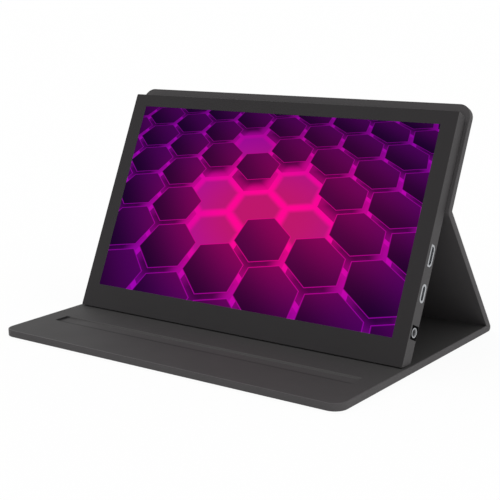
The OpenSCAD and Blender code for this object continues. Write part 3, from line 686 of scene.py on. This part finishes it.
def press_channel(bm, cover):
    """Cuts out the channel's mouth, sinks it with sloped sides and softens its edges."""
    middle = BASE_L - cover.channel_y
    half_l = cover.channel_l / 2
    half_w = cover.channel_w / 2
    for normal, spot in (((1, 0, 0), half_l), ((1, 0, 0), -half_l),
                         ((0, 1, 0), middle - half_w), ((0, 1, 0), middle + half_w)):
        everything = bm.faces[:] + bm.edges[:] + bm.verts[:]
        point = Vector(normal) * spot
        bmesh.ops.bisect_plane(bm, geom=everything, dist=MERGE, plane_co=point, plane_no=normal)
    mouth = [face for face in bm.faces
             if abs(face.calc_center_median().x) < half_l
             and abs(face.calc_center_median().y - middle) < half_w]
    bmesh.ops.inset_region(bm, faces=mouth, thickness=cover.channel_slope, depth=0,
                           use_even_offset=True)
    sunk = {v for face in mouth for v in face.verts}
    bmesh.ops.translate(bm, vec=(0, 0, -cover.channel_depth), verts=list(sunk))
    bends = [edge for edge in bm.edges
             if len(edge.link_faces) == 2 and edge.calc_face_angle() > BEND_OVER]
    round_edges(bm, bends, cover.channel_round, 4)


def fold_wedge(cover, near_r, far_r, start, turn, line):
    """A soft fold: the panel's end section swept round the line that two panels share."""
    bm = bmesh.new()
    sheet_outline(bm, COVER_W - 2 * cover.fold_inset, PANEL_T, far_r, 5)
    round_corners(bm, [v for v in bm.verts if v.co.y < MERGE], near_r, 4)
    bmesh.ops.transform(bm, matrix=Matrix.Translation(line) @ Matrix.Rotation(start, 4, "X"),
                        space=Matrix(), verts=bm.verts)
    bmesh.ops.spin(bm, geom=bm.faces[:] + bm.edges[:] + bm.verts[:], cent=line, axis=(1, 0, 0),
                   dvec=(0, 0, 0), angle=turn, steps=SWEEP_STEPS)
    bmesh.ops.remove_doubles(bm, verts=bm.verts, dist=MERGE / 2)
    bmesh.ops.dissolve_degenerate(bm, dist=MERGE / 4, edges=bm.edges)
    bmesh.ops.recalc_face_normals(bm, faces=bm.faces)
    return bm


def fill_corner(bm, line, start, turn, radius):
    """Pushes a fold's outer side out to where the two outer faces meet in a rounded corner."""
    half = turn / 2
    run = (PANEL_T - radius) * math.tan(half)
    reach = (PANEL_T - radius) / math.cos(half)
    straight = math.atan2(run, PANEL_T)
    for vert in bm.verts:
        arm = Vector((0, vert.co.y - line.y, vert.co.z - line.z))
        if arm.length < MERGE:
            continue
        off = math.remainder(math.atan2(arm.z, arm.y) - start - half, 2 * math.pi)
        if half - abs(off) < straight:
            far = PANEL_T / math.cos(half - abs(off))
        else:
            far = reach * math.cos(off) + math.sqrt(radius ** 2 - (reach * math.sin(off)) ** 2)
        vert.co += arm * (far / PANEL_T - 1)


# ---- Operators: the cover ----

class MONITOR_OT_cover_skins(bpy.types.Operator):
    """Makes the skins of the cover's three panels"""
    bl_idname = "monitor.cover_skins"
    bl_label = "Cover Skins"

    def execute(self, context):
        cover = context.scene.monitor_cover
        skin = grained("soft_skin", cover.skin_colour, rough=0.62, grain=0.45, relief=0.03,
                       specular=0.25, cells=True)
        rows = (("base_panel_skin", BASE_L, cover.corner_r, ON_BASE, "base", "base_skin"),
                ("leg_panel_skin", LEG_L, 0, ON_LEG, "leg", "leg_skin"),
                ("upper_panel_skin", UPPER_L, cover.corner_r, ON_UPPER, "upper", "upper_skin"))
        for name, length_y, corner_r, place, body, node in rows:
            bm = panel_skin(cover, length_y, corner_r, corner_r > 0)
            make_piece(name, bm, place, body, [skin], [node])
        return {"FINISHED"}


class MONITOR_OT_cover_linings(bpy.types.Operator):
    """Makes the linings of the cover's three panels, with the channel in the base"""
    bl_idname = "monitor.cover_linings"
    bl_label = "Cover Linings"

    def execute(self, context):
        cover = context.scene.monitor_cover
        lining = grained("soft_lining", cover.lining_colour, rough=0.7, grain=0.25, relief=0.015,
                         specular=0.25)
        pressed = pressed_lining("pressed_lining", cover)
        rows = (("base_panel_lining", BASE_L, cover.corner_r, True, ON_BASE, "base", "base_lining"),
                ("leg_panel_lining", LEG_L, 0, False, ON_LEG, "leg", "leg_lining"),
                ("upper_panel_lining", UPPER_L, cover.corner_r, False, ON_UPPER, "upper",
                 "upper_lining"))
        for name, length_y, corner_r, channel, place, body, node in rows:
            bm = panel_lining(cover, length_y, corner_r, channel)
            make_piece(name, bm, place, body, [pressed if channel else lining], [node])
        return {"FINISHED"}


class MONITOR_OT_cover_folds(bpy.types.Operator):
    """Makes the two soft folds, each swept round the line between the two panels it joins"""
    bl_idname = "monitor.cover_folds"
    bl_label = "Cover Folds"

    def execute(self, context):
        cover = context.scene.monitor_cover
        skin = finish("soft_skin")
        start = -math.pi / 2
        bm = fold_wedge(cover, cover.rim_round, cover.outer_round, start, BACK_FOLD_ANGLE, BACK_FOLD)
        fill_corner(bm, BACK_FOLD, start, BACK_FOLD_ANGLE, cover.fold_r)
        fold = make_piece("back_fold_skin", bm, Matrix(), None, [skin], ["back_fold"])
        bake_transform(fold)
        start = math.pi - TILT
        bm = fold_wedge(cover, cover.outer_round, cover.rim_round, start, MID_FOLD_ANGLE, MID_FOLD)
        fold = make_piece("mid_fold_skin", bm, Matrix(), None, [skin], ["mid_fold"])
        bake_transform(fold)
        return {"FINISHED"}


# ---- Operators: the monitor ----

class MONITOR_OT_bezel(bpy.types.Operator):
    """Dresses the front bezel, with its front edges just broken"""
    bl_idname = "monitor.bezel"
    bl_label = "Front Bezel"

    def execute(self, context):
        monitor = context.scene.monitor_case
        plastic = grained("matt_bezel", monitor.bezel_colour, rough=0.6, grain=0.3, relief=0.008,
                          contrast=0.08, specular=0.2)
        smooth = grained("side_plastic", monitor.shell_colour, rough=0.55, grain=0.3, relief=0.004,
                         contrast=0.08)
        bm = node_copy("front_bezel", ON_MONITOR)
        for face in bm.faces:
            face.material_index = 0 if face.normal.y < -0.5 else 1
        round_edges(bm, edges_on(bm, 1, 0), monitor.edge_round)
        make_piece("monitor_bezel", bm, ON_MONITOR, "monitor", [plastic, smooth],
                   ["front_bezel"])
        return {"FINISHED"}


class MONITOR_OT_rear_shell(bpy.types.Operator):
    """Dresses the rear shell"""
    bl_idname = "monitor.rear_shell"
    bl_label = "Rear Shell"

    def execute(self, context):
        monitor = context.scene.monitor_case
        plastic = grained("matt_shell", monitor.shell_colour, rough=0.55, grain=0.3, relief=0.008,
                          contrast=0.08)
        bm = node_copy("rear_shell", ON_MONITOR)
        make_piece("monitor_rear_shell", bm, ON_MONITOR, "monitor", [plastic],
                   ["rear_shell"])
        return {"FINISHED"}


class MONITOR_OT_screen(bpy.types.Operator):
    """Makes the glass with its lit picture"""
    bl_idname = "monitor.screen"
    bl_label = "Screen"

    def execute(self, context):
        picture = context.scene.monitor_picture
        bm = node_copy("glass_cell", ON_MONITOR)
        layer = bm.loops.layers.uv.new("picture")
        for face in bm.faces:
            for loop in face.loops:
                at = loop.vert.co
                loop[layer].uv = (at.x / picture.width + 0.5, (at.z - picture.bottom) / picture.height)
        make_piece("screen_glass", bm, ON_MONITOR, "monitor",
                   [lit_picture("screen_picture", picture)], ["glass_cell"])
        return {"FINISHED"}


class MONITOR_OT_sockets(bpy.types.Operator):
    """Dresses the two plated sockets with their contact tongues, and the audio jack"""
    bl_idname = "monitor.sockets"
    bl_label = "Sockets"

    def execute(self, context):
        monitor = context.scene.monitor_case
        plated = grained("plated_steel", monitor.socket_colour, rough=0.42, grain=0.2, relief=0.003,
                         contrast=0.05, metallic=1.0, specular=0.5)
        satin = grained("satin_plating", srgb(118, 118, 120), rough=0.55, grain=0.2, relief=0.003,
                        contrast=0.06, metallic=0.5)
        insulator = grained("socket_insulator", srgb(100, 101, 104), rough=0.5, grain=0.2,
                            relief=0.004)
        black = grained("jack_plastic", srgb(7, 7, 7), rough=0.8, grain=0.2, relief=0.004,
                        specular=0.02)
        for node in ("video_shell", "usb_shell", "jack_ring"):
            bm = node_copy(node, ON_MONITOR)
            side = max(v.co.x for v in bm.verts)
            round_edges(bm, edges_on(bm, 0, side), monitor.metal_round, 2)
            make_piece(node + "_rim", bm, ON_MONITOR, "monitor", [plated], [node])
        for node in ("video_tongue", "usb_tongue"):
            paint(node, insulator)
        paint("audio_jack", black)
        make_piece("jack_sleeve", sleeve(monitor), ON_MONITOR, "monitor", [satin])
        return {"FINISHED"}


def sleeve(monitor):
    """The plated sleeve that lines the jack's bore, with its collar inside the bright ring."""
    mount = MOUNTS["headphone_jack"]
    axis = ON_MONITOR.inverted() @ Vector(mount["pos_m"])
    side = (ON_MONITOR.inverted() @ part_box("jack_ring")[1]).x
    outer = mount["dims"]["r_mm"] * MM - monitor.sleeve_play
    inner = outer - monitor.sleeve_t
    end = side - monitor.sleeve_l
    face = side - monitor.collar_face
    back = side - monitor.collar_back
    outline = ((end, inner), (face - monitor.sleeve_flare, inner), (face, outer),
               (face, monitor.collar_r), (back, monitor.collar_r), (back, outer), (end, outer))
    bm = bmesh.new()
    ring = [bm.verts.new((x, axis.y, axis.z + r)) for x, r in outline]
    edges = [bm.edges.new((a, b)) for a, b in zip(ring, ring[1:] + ring[:1])]
    bmesh.ops.spin(bm, geom=ring + edges, cent=(0, axis.y, axis.z), axis=(1, 0, 0), dvec=(0, 0, 0),
                   angle=2 * math.pi, steps=SWEEP_STEPS, use_merge=True)
    bmesh.ops.remove_doubles(bm, verts=bm.verts, dist=MERGE / 2)
    bmesh.ops.recalc_face_normals(bm, faces=bm.faces)
    return bm


class MONITOR_OT_keys(bpy.types.Operator):
    """Dresses the three keys on the left side"""
    bl_idname = "monitor.keys"
    bl_label = "Keys"

    def execute(self, context):
        monitor = context.scene.monitor_case
        plastic = grained("key_plastic", monitor.key_colour, rough=0.45, grain=0.25, relief=0.005)
        for node in ("power_key", "plus_key", "minus_key"):
            bm = node_copy(node, ON_MONITOR)
            cap = min(v.co.x for v in bm.verts)
            round_edges(bm, edges_on(bm, 0, cap), monitor.key_round)
            make_piece(node + "_cap", bm, ON_MONITOR, node, [plastic], [node])
        return {"FINISHED"}


def paint(node, material):
    """Gives a CAD node its finish."""
    mesh = frame["nodes"][node].data
    mesh.materials.clear()
    mesh.materials.append(material)


class MONITOR_OT_inner_parts(bpy.types.Operator):
    """Finishes the pieces inside the monitor and the cover"""
    bl_idname = "monitor.inner_parts"
    bl_label = "Inner Parts"

    def execute(self, context):
        board = grained("pressed_board", srgb(150, 136, 116), rough=0.9, grain=0.6, relief=0.03,
                        contrast=0.2, specular=0.1, stretch=(0.3, 1, 1))
        nickel = grained("nickel", srgb(200, 202, 205), rough=0.3, grain=0.3, relief=0.003,
                         contrast=0.06, metallic=1.0)
        zinc = grained("dark_zinc", srgb(90, 90, 92), rough=0.4, grain=0.15, relief=0.005,
                       contrast=0.15, metallic=1.0)
        sheet = grained("brushed_sheet", srgb(185, 188, 192), rough=0.38, grain=0.2, relief=0.004,
                        contrast=0.1, metallic=1.0, stretch=(0.05, 1, 1))
        film = grained("diffuser_film", srgb(238, 238, 234), rough=0.6, grain=0.1, relief=0.002,
                       contrast=0.03)
        acrylic = grained("acrylic", srgb(222, 230, 232), rough=0.1, grain=0.5, relief=0.005,
                          contrast=0.03, specular=0.5, cells=True)
        ribbon = grained("amber_film", srgb(184, 122, 48), rough=0.4, grain=0.5, relief=0.02,
                         contrast=0.3, stretch=(1, 0.02, 0.02))
        speaker = grained("speaker_plastic", srgb(42, 41, 42), rough=0.55, grain=0.6, relief=0.05,
                          contrast=0.2, cells=True)
        lead = grained("lead_sleeve", srgb(176, 46, 46), rough=0.5, grain=0.4, relief=0.01)
        mask = circuit_board("solder_mask")
        finishes = ((board, ("front_board", "spine_board", "leg_board", "upper_board")),
                    (nickel, ("closing_magnets", "holding_magnets")),
                    (zinc, ("case_screws", "board_screws")),
                    (sheet, ("steel_plate", "module_tray")),
                    (film, ("diffuser_sheets", "reflector_sheet", "led_bar", "key_switches")),
                    (acrylic, ("light_guide",)),
                    (mask, ("driver_board", "key_board")),
                    (ribbon, ("panel_flex", "key_ribbon")),
                    (speaker, ("speaker_left", "speaker_right")),
                    (lead, ("speaker_leads",)))
        for material, nodes in finishes:
            for node in nodes:
                paint(node, material)
        return {"FINISHED"}


# ---- Operator: the stage ----

WHITE = (1, 1, 1, 1)
# From the middle of the floor to its edges, in metres, and the gap under the cover
FLOOR_REACH = 12
FLOOR_GAP = 0.1 * MM
# Nearest and farthest that the camera sees, in metres
CLIP = (0.05, 60)


def seen_directly(tree):
    """1 for the rays that show a background: the camera's, and those that metal and glass send on."""
    path = add(tree, "ShaderNodeLightPath")
    some = calc(tree, "ADD", path.outputs["Is Camera Ray"], path.outputs["Is Glossy Ray"], clamp=True)
    return calc(tree, "ADD", some, path.outputs["Is Transmission Ray"], clamp=True)


class MONITOR_OT_stage(bpy.types.Operator):
    """Sets the camera, the lights, the floor and the world"""
    bl_idname = "monitor.stage"
    bl_label = "Stage"

    def execute(self, context):
        stage = context.scene.monitor_stage
        self.place_camera(context, stage)
        self.place_lights(context, stage)
        self.lay_floor(context, stage)
        self.light_world(context, stage)
        context.scene.view_settings.view_transform = "Standard"
        return {"FINISHED"}

    def place_camera(self, context, stage):
        level = math.cos(stage.elevation)
        forward = Vector((-math.sin(stage.azimuth) * level, math.cos(stage.azimuth) * level,
                          -math.sin(stage.elevation)))
        right = forward.cross(Vector((0, 0, 1))).normalized()
        down = forward.cross(right)
        right, down = (right * math.cos(stage.roll) + down * math.sin(stage.roll),
                       down * math.cos(stage.roll) - right * math.sin(stage.roll))
        data = bpy.data.cameras.new("camera")
        data.lens = stage.lens
        data.clip_start, data.clip_end = CLIP
        camera = bpy.data.objects.new("camera", data)
        turned = Matrix((right, -down, -forward)).transposed().to_4x4()
        stand = Vector(stage.target) - forward * stage.distance
        camera.matrix_world = Matrix.Translation(stand) @ turned
        context.scene.collection.objects.link(camera)
        context.scene.camera = camera

    def place_lights(self, context, stage):
        for name, towards, strength in (("side_light", stage.side_from, stage.side_light),
                                        ("back_light", stage.back_from, stage.back_light)):
            data = bpy.data.lights.new(name, "SUN")
            data.energy = strength
            data.angle = stage.light_spread
            lamp = bpy.data.objects.new(name, data)
            lamp.rotation_euler = Vector(towards).to_track_quat("Z", "Y").to_euler()
            context.scene.collection.objects.link(lamp)

    def lay_floor(self, context, stage):
        bm = bmesh.new()
        bmesh.ops.create_grid(bm, x_segments=1, y_segments=1, size=FLOOR_REACH)
        bmesh.ops.translate(bm, vec=(0, 0, CAD_BOX[0].z - FLOOR_GAP), verts=bm.verts)
        mesh = bpy.data.meshes.new("floor")
        bm.to_mesh(mesh)
        bm.free()
        floor = bpy.data.objects.new("floor", mesh)
        context.scene.collection.objects.link(floor)
        made = bpy.data.materials.new("floor_paint")
        made.use_nodes = True
        tree = made.node_tree
        tree.nodes.clear()
        plain = add(tree, "ShaderNodeBsdfDiffuse", {"Color": (*stage.floor_colour, 1)}).outputs[0]
        white = add(tree, "ShaderNodeEmission", {"Color": WHITE}).outputs[0]
        shown = add(tree, "ShaderNodeMixShader", {0: stage.floor_white, 1: plain, 2: white}).outputs[0]
        both = add(tree, "ShaderNodeMixShader", {0: seen_directly(tree), 1: plain, 2: shown}).outputs[0]
        add(tree, "ShaderNodeOutputMaterial", {"Surface": both})
        mesh.materials.append(made)

    def light_world(self, context, stage):
        world = bpy.data.worlds.new("studio")
        context.scene.world = world
        world.use_nodes = True
        tree = world.node_tree
        tree.nodes.clear()
        sky, white = (add(tree, "ShaderNodeBackground",
                          {"Color": WHITE, "Strength": strength}).outputs[0]
                      for strength in (stage.sky, 1.0))
        both = add(tree, "ShaderNodeMixShader", {0: seen_directly(tree), 1: sky, 2: white}).outputs[0]
        add(tree, "ShaderNodeOutputWorld", {"Surface": both})


# ---- Panel and registration ----

OPERATORS = (MONITOR_OT_cover_skins, MONITOR_OT_cover_linings, MONITOR_OT_cover_folds, MONITOR_OT_bezel,
             MONITOR_OT_rear_shell, MONITOR_OT_screen, MONITOR_OT_sockets, MONITOR_OT_keys,
             MONITOR_OT_inner_parts, MONITOR_OT_stage)


class MONITOR_PT_looks(bpy.types.Panel):
    """Lists the pieces of the monitor and its cover"""
    bl_idname = "MONITOR_PT_looks"
    bl_label = "Portable Monitor"
    bl_space_type = "VIEW_3D"
    bl_region_type = "UI"
    bl_category = "Monitor"

    def draw(self, context):
        for operator in OPERATORS:
            self.layout.operator(operator.bl_idname)


SETTINGS = {"monitor_cover": CoverSettings, "monitor_case": MonitorSettings,
            "monitor_picture": PictureSettings, "monitor_stage": StageSettings}


def register():
    for made in (*SETTINGS.values(), *OPERATORS, MONITOR_PT_looks):
        bpy.utils.register_class(made)
    for name, group in SETTINGS.items():
        setattr(bpy.types.Scene, name, bpy.props.PointerProperty(type=group))


def unregister():
    for name in SETTINGS:
        delattr(bpy.types.Scene, name)
    for made in reversed((*SETTINGS.values(), *OPERATORS, MONITOR_PT_looks)):
        bpy.utils.unregister_class(made)


def main():
    register()
    for operator in OPERATORS:
        group, name = operator.bl_idname.split(".")
        getattr(getattr(bpy.ops, group), name)()


if __name__ == "__main__":
    main()
